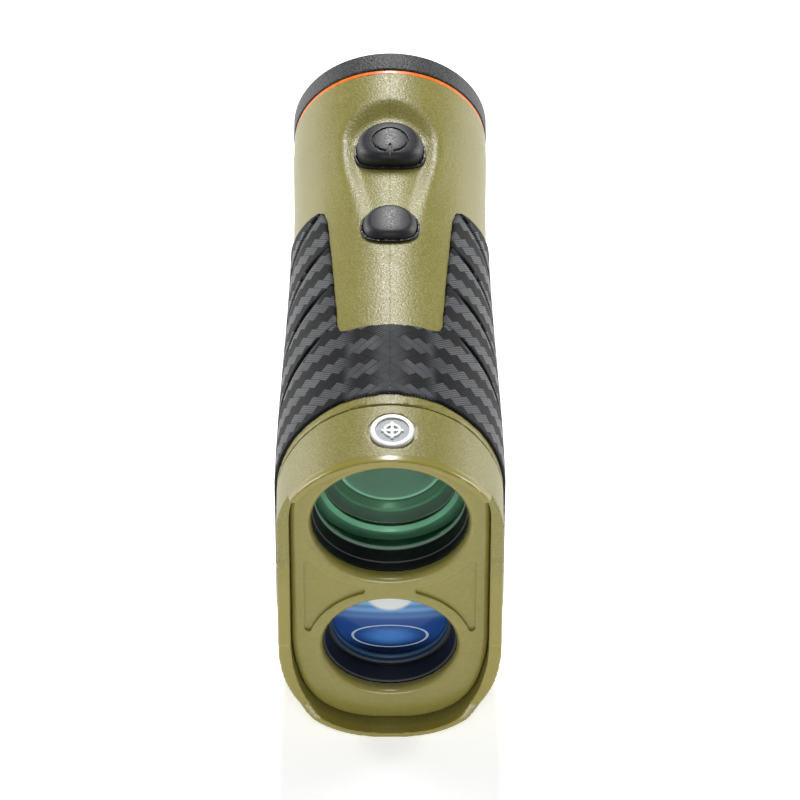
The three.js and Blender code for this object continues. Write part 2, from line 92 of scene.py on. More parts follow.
# Grooves of each grip: the first one's Y where the girth is GROOVE_GIRTH, their spacing along Y,
# the fall of Y with girth and the cosine of that lean.
GROOVES = 4
GROOVE_PITCH = 11.6
GROOVE_FIRST = 15.7
GROOVE_GIRTH = 14.0
GROOVE_LEAN = 0.53
GROOVE_COS = 0.884
GROOVE_HALF = 0.55

# Cell sizes of the surface nets
SHELL_CELL = 0.48
GRIP_CELL = 0.34
BEZEL_CELL = 0.36
PLATE_CELL = 0.3
BADGE_CELL = 0.11
KEY_CELL = 0.17
SEAL_CELL = 0.22
CAP_CELL = 0.26
TAB_CELL = 0.11

CREASE_ANGLE = math.radians(40)


# ---- Fields ----
def smoothstep(x, a, b):
    t = np.clip((x - a) / (b - a), 0.0, 1.0)
    return t * t * (3.0 - 2.0 * t)


def half_width(y):
    swell = 1.0 - smoothstep(y, -46.0, 24.0)
    return SLIM_HALF_WIDTH + FRONT_SWELL * swell + COLLAR_SWELL * smoothstep(y, 26.0, 46.0)


def round_and(a, b, r):
    """Intersection of two fields with an edge rounded to radius r."""
    return np.minimum(-r, np.maximum(a, b)) + np.hypot(np.maximum(a + r, 0), np.maximum(b + r, 0))


def round_or(a, b, r):
    """Union of two fields with a fillet of radius r."""
    return np.maximum(r, np.minimum(a, b)) - np.hypot(np.maximum(r - a, 0), np.maximum(r - b, 0))


def cut(a, b, r=0.15):
    """Field a with field b taken away."""
    return round_and(a, -b, r)


def section_field(x, y, z):
    """Distance to the body's cross-section: half-round crown, straight sides and a keel."""
    radius = half_width(y)
    crown = np.hypot(x, z - AXIS_Z) - radius
    flank = np.abs(x) - radius
    depth = SHOULDER_Z + KEEL_SINK * smoothstep(y, -53.0, -45.0)
    u = np.abs(x) / radius
    v = np.maximum(SHOULDER_Z - z, 0.0) / depth
    q = np.maximum(u**KEEL_POWER + v**KEEL_POWER, 1e-9) ** (1.0 / KEEL_POWER)
    lift = KEEL_POWER - 1.0
    slope = np.hypot(u ** lift / radius, v ** lift / depth) / q ** lift
    keel = (q - 1.0) / np.maximum(slope, 1e-6)
    side = np.where(z >= AXIS_Z, crown, np.where(z >= SHOULDER_Z, flank, keel))
    return np.maximum(side, -z)


def round_field(x, z, axis_z, radius):
    """Distance to a lengthwise cylinder."""
    return np.hypot(x, z - axis_z) - radius


def girth(x, y, z):
    """Arc length along the section from the middle of the crown."""
    radius = half_width(y)
    angle = np.arctan2(np.abs(x), np.maximum(z - AXIS_Z, 0.0))
    return radius * angle + np.maximum(AXIS_Z - z, 0.0)


def joint_y(z):
    """Y of the joint between bezel and shells, which leans forward on its way down."""
    return -40.1 - 2.2 * smoothstep(74.0 - z, -2.0, 16.0)


def polygon_field(px, py, corners):
    """Signed distance to a polygon, negative inside."""
    best = np.full(px.shape, 1e9, dtype=px.dtype)
    sign = np.ones(px.shape, dtype=px.dtype)
    count = len(corners)
    for i in range(count):
        ax, ay = corners[i]
        bx, by = corners[i - 1]
        ex, ey = bx - ax, by - ay
        wx, wy = px - ax, py - ay
        t = np.clip((wx * ex + wy * ey) / (ex * ex + ey * ey), 0.0, 1.0)
        best = np.minimum(best, (wx - ex * t) ** 2 + (wy - ey * t) ** 2)
        above = py >= ay
        below = py < by
        left = ex * wy > ey * wx
        flip = (above & below & left) | (~above & ~below & ~left)
        sign = np.where(flip, -sign, sign)
    return sign * np.sqrt(best)


def surface_net(field, low, high, cell):
    """Meshes the zero surface of a field by dual contouring, so that its edges stay crisp."""
    axes = [np.arange(low[k], high[k] + cell, cell, dtype=np.float32) for k in range(3)]
    x, y, z = np.meshgrid(*axes, indexing="ij")
    values = field(x, y, z).astype(np.float32)
    inside = values < 0
    mixed = np.zeros([n - 1 for n in values.shape], dtype=bool)
    first = inside[:-1, :-1, :-1]
    corners = [(i, j, k) for i in (0, 1) for j in (0, 1) for k in (0, 1)]
    for i, j, k in corners[1:]:
        shifted = inside[i : i + mixed.shape[0], j : j + mixed.shape[1], k : k + mixed.shape[2]]
        mixed |= shifted != first
    cells = np.argwhere(mixed)
    number = np.full(mixed.shape, -1, dtype=np.int64)
    number[mixed] = np.arange(len(cells))
    points = place_vertices(field, values, cells, corners, np.array(low), cell)
    faces = []
    for axis in range(3):
        other = [k for k in range(3) if k != axis]
        near = inside[tuple(slice(0, -1) if k == axis else slice(1, -1) for k in range(3))]
        far = inside[tuple(slice(1, None) if k == axis else slice(1, -1) for k in range(3))]
        at = np.argwhere(near != far)
        leaving = near[tuple(at.T)]
        at[:, other] += 1
        ring = []
        for du, dv in ((0, 0), (1, 0), (1, 1), (0, 1)):
            index = at.copy()
            index[:, other[0]] -= du
            index[:, other[1]] -= dv
            ring.append(number[tuple(index.T)])
        quad = np.stack(ring, axis=1)
        turn = leaving if axis != 1 else ~leaving
        faces.append(np.where(turn[:, None], quad, quad[:, ::-1]))
    return points, np.concatenate(faces)


def place_vertices(field, values, cells, corners, low, cell):
    """One vertex for each mixed cell, where the tangent planes of its edge crossings meet."""
    total = np.zeros((len(cells), 3))
    hits = np.zeros(len(cells))
    planes = np.zeros((len(cells), 3, 3))
    pull = np.zeros((len(cells), 3))
    for i, j, k in corners:
        for axis in range(3):
            if (i, j, k)[axis]:
                continue
            start = np.array([i, j, k])
            end = start.copy()
            end[axis] = 1
            a = values[tuple((cells + start).T)].astype(np.float64)
            b = values[tuple((cells + end).T)].astype(np.float64)
            at = np.flatnonzero((a < 0) != (b < 0))
            t = a[at] / (a[at] - b[at])
            point = low + cell * (cells[at] + start + (end - start) * t[:, None])
            normal = gradient(field, point)
            total[at] += point
            hits[at] += 1
            planes[at] += normal[:, :, None] * normal[:, None, :]
            pull[at] += normal * (normal * point).sum(axis=1)[:, None]
    middle = total / hits[:, None]
    hold = 0.08
    planes += hold * np.eye(3)
    points = np.linalg.solve(planes, (pull + hold * middle)[:, :, None])[:, :, 0]
    slack = 0.2 * cell
    floor = low + cell * cells
    return np.clip(points, floor - slack, floor + cell + slack)


def gradient(field, point):
    """Unit gradient of a field at a list of points."""
    step = 0.01
    x, y, z = point.T
    slope = np.stack(
        [
            field(x + step, y, z) - field(x - step, y, z),
            field(x, y + step, z) - field(x, y - step, z),
            field(x, y, z + step) - field(x, y, z - step),
        ],
        axis=1,
    )
    return slope / np.maximum(np.linalg.norm(slope, axis=1)[:, None], 1e-9)


# ---- Meshes and objects ----
def new_object(name, points, faces, material):
    mesh = bpy.data.meshes.new(name)
    mesh.from_pydata((np.asarray(points) * MM).tolist(), [], np.asarray(faces).tolist())
    mesh.validate()
    mesh.shade_smooth()
    mesh.set_sharp_from_angle(angle=CREASE_ANGLE)
    mesh.materials.append(material)
    piece = bpy.data.objects.new(name, mesh)
    bpy.context.scene.collection.objects.link(piece)
    return piece


def moulded(name, field, low, high, cell, material, side=0):
    """A piece from a field; side +1 or -1 keeps the half on that side of the casing's seam."""
    points, faces = surface_net(field, low, high, cell)
    piece = new_object(name, points, faces, material)
    if side:
        halve(piece, side)
    return piece


def halve(piece, side):
    """Cuts the piece along the seam plane and closes the cut."""
    bm = bmesh.new()
    bm.from_mesh(piece.data)
    result = bmesh.ops.bisect_plane(
        bm,
        geom=bm.verts[:] + bm.edges[:] + bm.faces[:],
        dist=1e-7,
        plane_co=(side * SEAM * MM, 0, 0),
        plane_no=(-side, 0, 0),
        clear_outer=True,
    )
    rim = [e for e in result["geom_cut"] if isinstance(e, bmesh.types.BMEdge) and e.is_boundary]
    filled = bmesh.ops.triangle_fill(bm, edges=rim, use_beauty=True)
    for face in [f for f in filled["geom"] if isinstance(f, bmesh.types.BMFace)]:
        face.smooth = False
    for edge in rim:
        if edge.is_valid:
            edge.smooth = False
    bmesh.ops.recalc_face_normals(bm, faces=bm.faces)
    bm.to_mesh(piece.data)
    bm.free()


def finish_piece(piece, body, slot_name, *nodes):
    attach(piece, body)
    if nodes:
        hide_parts(*nodes)



# ---- Materials ----
def srgb(*levels):
    """Linear colour from 0-255 screen levels."""
    return tuple((level / 255) ** 2.2 for level in levels)


class Shade:
    """A material being built: its Principled shader and short names for the nodes it uses."""

    def __init__(self, name, roughness, metallic=0.0):
        self.material = bpy.data.materials.new(name)
        self.material.use_nodes = True
        self.tree = self.material.node_tree
        self.shader = self.tree.nodes["Principled BSDF"]
        self.shader.inputs["Roughness"].default_value = roughness
        self.shader.inputs["Metallic"].default_value = metallic
        self.place = self.tree.nodes.new("ShaderNodeTexCoord").outputs["Object"]

    def fill(self, socket, value):
        if isinstance(value, bpy.types.NodeSocket):
            self.tree.links.new(value, socket)
        else:
            socket.default_value = value

    def math(self, operation, a, b=0.0, c=0.0):
        node = self.tree.nodes.new("ShaderNodeMath")
        node.operation = operation
        for socket, value in zip(node.inputs, (a, b, c)):
            self.fill(socket, value)
        return node.outputs[0]

    def axes(self):
        """X, Y and Z in millimetres."""
        node = self.tree.nodes.new("ShaderNodeSeparateXYZ")
        self.fill(node.inputs[0], self.place)
        return [self.math("MULTIPLY", out, 1000.0) for out in node.outputs]

    def ramp(self, value, low, high, start=0.0, end=1.0):
        """Smooth step of value between low and high."""
        node = self.tree.nodes.new("ShaderNodeMapRange")
        node.interpolation_type = "SMOOTHSTEP"
        for socket, level in zip(node.inputs, (value, low, high, start, end)):
            self.fill(socket, level)
        return node.outputs[0]

    def noise(self, feature_mm, detail=2.0):
        node = self.tree.nodes.new("ShaderNodeTexNoise")
        self.fill(node.inputs["Vector"], self.place)
        node.inputs["Scale"].default_value = 1000.0 / feature_mm
        node.inputs["Detail"].default_value = detail
        return node.outputs["Fac"]

    def mix(self, factor, a, b):
        node = self.tree.nodes.new("ShaderNodeMix")
        node.data_type = "RGBA"
        self.fill(node.inputs["Factor"], factor)
        for socket, value in zip((node.inputs["A"], node.inputs["B"]), (a, b)):
            self.fill(socket, value)
        return node.outputs["Result"]

    def color(self, value):
        self.fill(self.shader.inputs["Base Color"], value)

    def bump(self, height, depth_mm, strength=1.0):
        node = self.tree.nodes.new("ShaderNodeBump")
        node.inputs["Strength"].default_value = strength
        node.inputs["Distance"].default_value = depth_mm * MM
        self.fill(node.inputs["Height"], height)
        self.fill(self.shader.inputs["Normal"], node.outputs[0])


def grained(name, low, high, roughness, grain_mm, depth_mm, metallic=0.0, detail=2.0, spread=0.08):
    """Moulded or machined finish: colour between two levels, fine relief and uneven gloss."""
    shade = Shade(name, roughness, metallic)
    fine = shade.noise(grain_mm, detail)
    broad = shade.noise(14.0, 2.0)
    tone = shade.math("ADD", shade.ramp(fine, 0.35, 0.65, 0.0, 0.75), shade.ramp(broad, 0.3, 0.7, 0.0, 0.25))
    shade.color(shade.mix(tone, (*srgb(*low), 1), (*srgb(*high), 1)))
    uneven = shade.ramp(fine, 0.3, 0.7, roughness - spread, roughness + spread)
    shade.fill(shade.shader.inputs["Roughness"], uneven)
    shade.bump(fine, depth_mm)
    return shade.material


WEAVE_RADIUS = 19.4

# The two diagonal strand families: strands per millimetre along Y and over the girth, and an offset
FORWARD_STRANDS = (-0.4545, 0.342, -0.13)
BACKWARD_STRANDS = (0.507, 0.489, 0.2)
THREADS_PER_STRAND = 4.0
TWILL_REPEAT = 6.0


def woven_rubber(name):
    """Rubber moulded like a steep 3/3 twill, mirrored on the seam; strands run diagonally. Its floats carry
    painted sheen, lighter by where they lie; its grooves carry painted shade and their crests a painted
    highlight.
    """
    shade = Shade(name, 0.42)
    shade.shader.inputs["Specular IOR Level"].default_value = 0.2
    x, y, z = shade.axes()
    side = shade.math("ABSOLUTE", x)
    rise = shade.math("MAXIMUM", shade.math("SUBTRACT", z, AXIS_Z), 0.0)
    drop = shade.math("MAXIMUM", shade.math("SUBTRACT", AXIS_Z, z), 0.0)
    reach = shade.math("ADD", shade.math("MULTIPLY", shade.math("ARCTAN2", side, rise), WEAVE_RADIUS), drop)
    forward = shade.math("MULTIPLY_ADD", y, FORWARD_STRANDS[0], FORWARD_STRANDS[2])
    backward = shade.math("MULTIPLY_ADD", y, BACKWARD_STRANDS[0], BACKWARD_STRANDS[2])
    across = shade.math("ADD", shade.math("MULTIPLY", reach, FORWARD_STRANDS[1]), forward)
    along = shade.math("ADD", shade.math("MULTIPLY", reach, BACKWARD_STRANDS[1]), backward)
    column = shade.math("FLOOR", across)
    row = shade.math("FLOOR", along)
    step = shade.math("SUBTRACT", shade.math("SUBTRACT", column, row), 1.0)
    turn = shade.math("FLOORED_MODULO", step, TWILL_REPEAT)
    rising = shade.math("LESS_THAN", turn, 2.5)
    falling = shade.math("SUBTRACT", 1.0, rising)
    cross = shade.math(
        "ADD", shade.math("MULTIPLY", across, rising), shade.math("MULTIPLY", along, falling)
    )
    within = shade.math("ABSOLUTE", shade.math("SUBTRACT", shade.math("FRACT", cross), 0.5))
    edge = shade.ramp(within, 0.40, 0.5)
    thread = shade.math("PINGPONG", shade.math("MULTIPLY", cross, THREADS_PER_STRAND), 0.5)
    thread = shade.math("MULTIPLY", thread, 2.0)
    # Painted sheen: rising floats painted lighter on the flanks, falling floats near the crown, and a grey
    # sheen by the seam; light sums these masks.
    flank_painted_sheen = shade.math("MULTIPLY", rising, shade.ramp(reach, 5.5, 9.0))
    crown_painted_sheen = shade.math("MULTIPLY", falling, shade.ramp(reach, 8.5, 6.5))
    crown_painted_sheen = shade.math("MULTIPLY", crown_painted_sheen, shade.ramp(reach, 1.0, 3.5, 0.55, 1.0))
    seam_painted_sheen = shade.math("MULTIPLY", rising, shade.ramp(reach, 4.0, 0.5, 0.0, 0.5))
    light = shade.math("ADD", shade.math("ADD", flank_painted_sheen, crown_painted_sheen), seam_painted_sheen)
    hatched = shade.math("MULTIPLY", light, shade.math("MULTIPLY_ADD", thread, 0.75, 0.25))
    patchy = shade.math("MULTIPLY", hatched, shade.ramp(shade.noise(6.0), 0.3, 0.7, 0.7, 1.1))
    faded_edge = shade.math("MULTIPLY", edge, shade.ramp(reach, 1.0, 4.5, 0.25, 0.9))
    painted_light_level = shade.math("MULTIPLY", patchy, shade.math("SUBTRACT", 1.0, faded_edge))
    past_middle = shade.math("SUBTRACT", reach, GROOVE_GIRTH)
    lean = shade.math("ADD", y, shade.math("MULTIPLY", past_middle, GROOVE_LEAN))
    turns = shade.math("DIVIDE", shade.math("SUBTRACT", GROOVE_FIRST, lean), GROOVE_PITCH)
    nearest = shade.math("MINIMUM", shade.math("MAXIMUM", shade.math("ROUND", turns), 0.0), GROOVES - 1)
    offset = shade.math("MULTIPLY", shade.math("SUBTRACT", turns, nearest), GROOVE_PITCH * GROOVE_COS)
    started = shade.ramp(reach, 12.8, 15.5)
    inside = shade.ramp(shade.math("ABSOLUTE", offset), GROOVE_HALF + 0.1, GROOVE_HALF - 0.2)
    # Painted shade: the inside of each groove, painted near black below.
    slot = shade.math("MULTIPLY", started, inside)
    # Painted highlight along the crest just in front of each groove.
    crest_at = shade.math("ABSOLUTE", shade.math("SUBTRACT", offset, GROOVE_HALF + 0.5))
    crest_painted_highlight = shade.math("MULTIPLY", started, shade.ramp(crest_at, 0.45, 0.1, 0.0, 0.7))
    painted_light_level = shade.math("MAXIMUM", painted_light_level, crest_painted_highlight)
    # Dark rubber painted lighter grey where the painted sheen or painted highlight is; the groove is painted
    # near black as painted shade.
    rubber = shade.mix(painted_light_level, (*srgb(12, 13, 16), 1), (*srgb(88, 90, 94), 1))
    shade.color(shade.mix(slot, rubber, (*srgb(8, 8, 10), 1)))
    shade.fill(shade.shader.inputs["Roughness"], shade.math("MULTIPLY_ADD", light, -0.18, 0.62))
    crest = shade.math("SUBTRACT", 1.0, faded_edge)
    relief = shade.math("ADD", shade.math("MULTIPLY", crest, 0.5), shade.math("MULTIPLY", thread, 0.5))
    shade.bump(relief, 0.10, 0.8)
    return shade.material


def olive_bezel(name):
    """Grained olive skin whose front faces are smooth."""
    shade = Shade(name, 0.42)
    _, y, _ = shade.axes()
    fine = shade.noise(OLIVE_GRAIN, 3.0)
    smooth = shade.ramp(y, -52.4, -53.2)
    kept = shade.math("SUBTRACT", 1.0, shade.math("MULTIPLY", smooth, 0.9))
    height = shade.math("MULTIPLY", fine, kept)
    skin = shade.mix(shade.ramp(fine, 0.35, 0.65), (*srgb(*OLIVE_LOW), 1), (*srgb(*OLIVE_HIGH), 1))
    shade.color(shade.mix(smooth, skin, (*srgb(136, 127, 60), 1)))
    shade.fill(shade.shader.inputs["Roughness"], shade.math("MULTIPLY_ADD", smooth, -0.16, 0.42))
    shade.bump(height, OLIVE_RELIEF)
    return shade.material


def ringed(name, axis_z, rings, roughness, coat=0.0):
    """Turned surface coloured by its distance from an axis; rings are (radius, colour) pairs."""
    shade = Shade(name, roughness)
    shade.shader.inputs["Coat Weight"].default_value = coat
    x, _, z = shade.axes()
    height = shade.math("SUBTRACT", z, axis_z)
    square = shade.math("ADD", shade.math("MULTIPLY", x, x), shade.math("MULTIPLY", height, height))
    radius = shade.math("SQRT", square)
    shown = (*rings[0][1], 1)
    for at, tone in rings[1:]:
        shown = shade.mix(shade.ramp(radius, at - 0.12, at + 0.12), shown, (*tone, 1))
    shade.color(shown)
    shade.bump(shade.noise(0.6), 0.004)
    return shade.material


def clear_glass(name, tint, coat_tint, index=1.25, coat=1.0):
    """Coated glass: clear body, faint uneven coating."""
    shade = Shade(name, 0.02)
    shade.shader.inputs["Transmission Weight"].default_value = 1.0
    shade.shader.inputs["IOR"].default_value = index
    shade.shader.inputs["Coat Weight"].default_value = coat
    shade.shader.inputs["Coat Roughness"].default_value = 0.02
    shade.shader.inputs["Coat Tint"].default_value = (*coat_tint, 1)
    wash = shade.ramp(shade.noise(8.0, 1.0), 0.3, 0.7)
    shade.color(shade.mix(wash, (*tint, 1), (*[c * 0.92 for c in tint], 1)))
    return shade.material


OLIVE_LOW = (118, 112, 52)
OLIVE_HIGH = (134, 128, 68)
OLIVE_GRAIN = 0.42
OLIVE_RELIEF = 0.09
FINISH = {
    "olive_grained": grained(
        "olive_grained", OLIVE_LOW, OLIVE_HIGH, 0.40, OLIVE_GRAIN, OLIVE_RELIEF, detail=3.0
    ),
    "olive_smooth": grained(
        "olive_smooth", (130, 123, 62), (135, 128, 67), 0.24, 0.9, 0.001, spread=0.02
    ),
    "olive_bezel": olive_bezel("olive_bezel"),
    "grip_rubber": woven_rubber("grip_rubber"),
    "accent_orange": grained("accent_orange", (228, 108, 26), (238, 124, 40), 0.36, 1.2, 0.01),
    "cup_rubber": grained("cup_rubber", (1, 1, 2), (60, 61, 63), 0.5, 0.45, 0.2, detail=3.0, spread=0.05),
    "button_rubber": grained("button_rubber", (27, 28, 32), (33, 34, 38), 0.48, 0.3, 0.004),
    "black_plastic": grained("black_plastic", (26, 27, 30), (36, 37, 40), 0.45, 0.6, 0.02),
    "black_anodised": grained("black_anodised", (14, 15, 18), (24, 25, 29), 0.34, 0.4, 0.006, metallic=0.3),
    "badge_white": grained("badge_white", (206, 207, 208), (216, 217, 217), 0.4, 1.0, 0.004),
    "badge_field": grained("badge_field", (132, 137, 138), (160, 164, 164), 0.5, 0.35, 0.02),
    "optical_glass": clear_glass("optical_glass", (0.86, 0.93, 0.9), (0.8, 0.95, 0.9)),
    "coated_green": clear_glass("coated_green", (0.66, 0.9, 0.77), (0.72, 1.0, 0.84), 1.1, 0.35),
    "coated_blue": clear_glass("coated_blue", (0.62, 0.78, 0.98), (0.7, 0.84, 1.0)),
    "steel": grained("steel", (168, 170, 173), (196, 198, 200), 0.3, 0.5, 0.004, metallic=1.0),
    "brass_insert": grained("brass_insert", (176, 138, 70), (204, 164, 92), 0.32, 0.5, 0.006, metallic=1.0),
    "circuit_board": grained("circuit_board", (18, 70, 44), (28, 92, 58), 0.5, 1.2, 0.01),
    "battery_sleeve": grained("battery_sleeve", (42, 66, 110), (58, 84, 130), 0.4, 2.0, 0.006),
}


# ---- Camera ----
CAMERA_ELEVATION = 45.84
CAMERA_DISTANCE = 1.12508
LOOK_HEIGHT = 0.03363
FOCAL_IN_FRAMES = 7.5  # focal length over the width of the frame
CAMERA_SHIFT = 0.0125
SENSOR_WIDTH = 36.0


def make_camera():
    data = bpy.data.cameras.new("camera")
    data.sensor_width = SENSOR_WIDTH
    data.lens = SENSOR_WIDTH * FOCAL_IN_FRAMES
    data.shift_x = CAMERA_SHIFT
    camera = bpy.data.objects.new("camera", data)
    tilt = math.radians(CAMERA_ELEVATION)
    camera.location = (
        0,
        -CAMERA_DISTANCE * math.cos(tilt),
        LOOK_HEIGHT + CAMERA_DISTANCE * math.sin(tilt),
    )
    camera.rotation_euler = (math.pi / 2 - tilt, 0, 0)
    data.clip_end = 10
    bpy.context.scene.collection.objects.link(camera)
    bpy.context.scene.camera = camera


make_camera()


# ---- Casing ----
def recess_depth(x, y):
    """Depth of the finger recess: a long shield, deep and steep behind, fading out in front."""
    widening = RECESS_REAR_HALF - RECESS_FRONT_HALF
    sides = RECESS_FRONT_HALF + widening * smoothstep(y, 9.0, 31.0)
    front = np.clip((y + 1.0) / 12.0, 0.0, 1.0)
    sides = sides * np.sqrt(np.maximum(1.0 - (1.0 - front) ** 2, 0.0))
    rear = np.hypot(x, np.maximum(y - RECESS_REAR_Y, 0.0)) - RECESS_REAR_HALF
    across = np.where(y > RECESS_REAR_Y, rear, np.abs(x) - sides)
    softness = 3.4 + 0.8 * smoothstep(y, 33.0, 39.0)
    depth = 0.12 + 1.48 * smoothstep(y, 0.0, 34.0)
    ridge = 0.05 * smoothstep(y, 2.0, 14.0) * np.exp(-(((across - 0.9) / 0.9) ** 2))
    return depth * smoothstep(-across, -0.3, softness) - ridge


def outer_field(x, y, z):
    """Outside of the casing behind the bezel, with the round eyepiece collar."""
    body = section_field(x, y, z)
    body = body + np.where(z > AXIS_Z, recess_depth(x, y), 0.0)
    heel = round_and(y - REAR_FACE_Y, -z, HEEL_RADIUS)
    body = round_and(body, heel, 1.6)
    collar = round_and(round_field(x, z, AXIS_Z, COLLAR_RADIUS), y - TUBE_END_Y, 0.25)
    collar = np.maximum(collar, 44.0 - y)
    fillet = 0.05 + 1.6 * smoothstep(AXIS_Z - z, 4.0, 12.0)
    return round_or(body, collar, fillet)


# Half of the grips' outline, as girth and Y
GRIP_CORNERS = [
    (0.0, STRIP_FRONT_Y), (9.0, -38.1), (14.0, -38.9), (20.0, -39.7), (27.0, -41.0), (69.6, -41.0),
    (71.3, -40.3), (72.0, -38.6), (72.0, 6.8), (71.7, 9.0), (70.7, 11.1), (61.6, 23.2), (60.2, 24.6),
    (58.4, 25.4), (56.2, 25.3), (43.6, 23.6), (40.4, 22.9), (31.0, 19.0), (23.5, 17.2), (18.0, 16.8),
    (14.6, 16.4), (13.5, 15.6), (12.6, 12.6), (11.2, -2.0), (10.2, -15.0), (10.0, -17.8),
    (9.6, -18.9), (8.8, -19.6), (7.6, -19.9), (5.0, STRIP_REAR_Y), (0.0, STRIP_REAR_Y),
]


def grip_region(x, y, z, margin=0.0):
    """Inside of the grip's outline, measured over the casing's own surface."""
    reach = girth(x, y, z)
    half = polygon_field(reach, y, GRIP_CORNERS)
    over_seam = np.maximum(STRIP_FRONT_Y - y, y - STRIP_REAR_Y)
    return np.where(reach < 2.0, over_seam, half) - margin


def groove_field(x, y, z):
    """Distance across the nearest diagonal groove, which starts as a point by the panel."""
    reach = girth(x, y, z)
    lean = y + GROOVE_LEAN * (reach - GROOVE_GIRTH)
    nearest = np.clip(np.round((GROOVE_FIRST - lean) / GROOVE_PITCH), 0, GROOVES - 1)
    across = np.abs(lean - GROOVE_FIRST + nearest * GROOVE_PITCH) * GROOVE_COS
    width = GROOVE_HALF * smoothstep(reach, 12.6, 16.5)
    skin = section_field(x, y, z) - GRIP_PROUD
    return round_and(across - width, -(skin + 0.75), 0.02)


def screw_places():
    """Y and Z of the shell screws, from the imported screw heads."""
    places = []
    for number in range(1, 5):
        low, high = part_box(f"shell_screw_{number}")
        places.append(((low[1] + high[1]) / 2 / MM, (low[2] + high[2]) / 2 / MM))
    return places


SCREWS = screw_places()


def shell_field(side):
    """One casing half; the other half is cut away afterwards."""

    def field(x, y, z):
        body = round_and(outer_field(x, y, z), joint_y(z) - y, 0.2)
        bed = np.maximum(grip_region(x, y, z, 0.10), -(section_field(x, y, z) + GRIP_SINK + 0.1))
        body = cut(body, bed, 0.12)
        inner = section_field(x, y, z) + WALL + 0.6 * smoothstep(y, 10.0, 44.0)
        floor = round_and(y - REAR_FACE_Y + WALL, WALL - z, HEEL_RADIUS - WALL)
        inner = round_and(inner, floor, 1.0)
        bore = np.maximum(round_field(x, z, AXIS_Z, OCULAR_BORE), 41.5 - y)
        battery = np.maximum(round_field(x, z, BATTERY_Z, BATTERY_BORE), 38.0 - y)
        body = np.maximum(body, -inner)
        for button in (POWER_BUTTON, MODE_BUTTON):
            hole = np.maximum(button_outline(x, y, button) - 0.3, 60.0 - z)
            body = np.maximum(body, -hole)
        bush = np.hypot(x, y - TRIPOD_Y) - BUSH_BORE
        body = cut(body, np.maximum(bush, z - 9.0), 0.15)
        body = np.maximum(body, -np.minimum(bore, battery))
        if side < 0:
            for screw_y, screw_z in SCREWS:
                well = np.maximum(np.hypot(y - screw_y, z - screw_z) - SCREW_WELL, x)
                head = section_field(x, y, z) + 2.3
                body = cut(body, np.maximum(well, -head), 0.15)
        else:
            body = lanyard_corner(body, x, y, z)
        return body

    return field


LANYARD_Z = 18.7
LANYARD_HALF = 5.1
LANYARD_POST = 2.0
LANYARD_INNER = 10.9
LANYARD_FRONT = 38.2


def lanyard_corner(body, x, y, z):
    """Adds the solid rear corner and cuts the slot that the lanyard bar crosses."""
    block = np.maximum(np.maximum(9.9 - x, 36.0 - y), np.abs(z - LANYARD_Z) - LANYARD_HALF - LANYARD_POST)
    corner = np.maximum(block, outer_field(x, y, z) + 0.4)
    slot = round_and(LANYARD_INNER - x, LANYARD_FRONT - y, 1.0)
    slot = round_and(slot, np.abs(z - LANYARD_Z) - LANYARD_HALF, 0.8)
    return cut(np.minimum(body, corner), slot, 0.4)


def grip_field(x, y, z):
    """One rubber grip with rounded edges and its four diagonal grooves."""
    skin = section_field(x, y, z)
    band = np.maximum(skin - GRIP_PROUD, -(skin + GRIP_SINK))
    grip = round_and(band, grip_region(x, y, z), 0.4)
    return round_and(grip, -groove_field(x, y, z), 0.4)


# ---- Buttons ----
def button_of(node):
    """Centre, half sizes and top of a button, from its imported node."""
    low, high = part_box(node)
    return {
        "y": (low[1] + high[1]) / 2 / MM,
        "half_x": (high[0] - low[0]) / 2 / MM,
        "half_y": (high[1] - low[1]) / 2 / MM,
        "top": high[2] / MM,
    }


POWER_BUTTON = button_of("power_button")
MODE_BUTTON = button_of("mode_button")
KEY_ARCH = 13.0
KEY_EDGE = 1.3
KEY_FOOT_Z = 66.5
SYMBOL_RADIUS = 3.3
SYMBOL_DEPTH = 0.28


def button_outline(x, y, button):
    """Rounded outline, blunter towards the front than behind."""
    u = np.abs(x) / button["half_x"]
    v = (y - button["y"]) / button["half_y"]
    power = 2.05 + 0.5 * smoothstep(-v, -0.3, 0.6)
    q = np.maximum(u**power + np.abs(v) ** power, 1e-9) ** (1.0 / power)
    return (q - 1.0) * min(button["half_x"], button["half_y"])


def button_field(button, symbol):
    """A domed key: flat-topped along the casing and arched across it."""

    def field(x, y, z):
        outline = button_outline(x, y, button)
        arch = np.hypot(x, z - button["top"] + KEY_ARCH) - KEY_ARCH
        nod = 0.05 * np.maximum(np.abs(y - button["y"]) - 1.5, 0.0) ** 2
        key = round_and(outline, arch + nod, KEY_EDGE)
        key = np.maximum(key, KEY_FOOT_Z - z)
        if symbol:
            ring_y = y - button["y"] + 0.6
            ring = np.abs(np.hypot(x, ring_y * 1.08) - SYMBOL_RADIUS) - 0.2
            ring = np.maximum(ring, 0.75 - np.hypot(x, ring_y + 3.2))
            bar = np.maximum(np.abs(x) - 0.24, np.abs(ring_y + 2.7) - 1.5)
            mark = np.maximum(np.minimum(ring, bar), -(arch + nod + SYMBOL_DEPTH))
            key = round_and(key, -mark, 0.08)
        return key

    return field


def seal_field(button):
    """Thin flange around a button that stands on the casing."""

    def field(x, y, z):
        outline = button_outline(x, y, button)
        ring = np.maximum(outline - 0.42, -(outline - 0.12))
        ground = section_field(x, y, z) + recess_depth(x, y)
        flange = round_and(ring, ground - 0.55, 0.12)
        return np.maximum(flange, -(ground + 1.0))

    return field


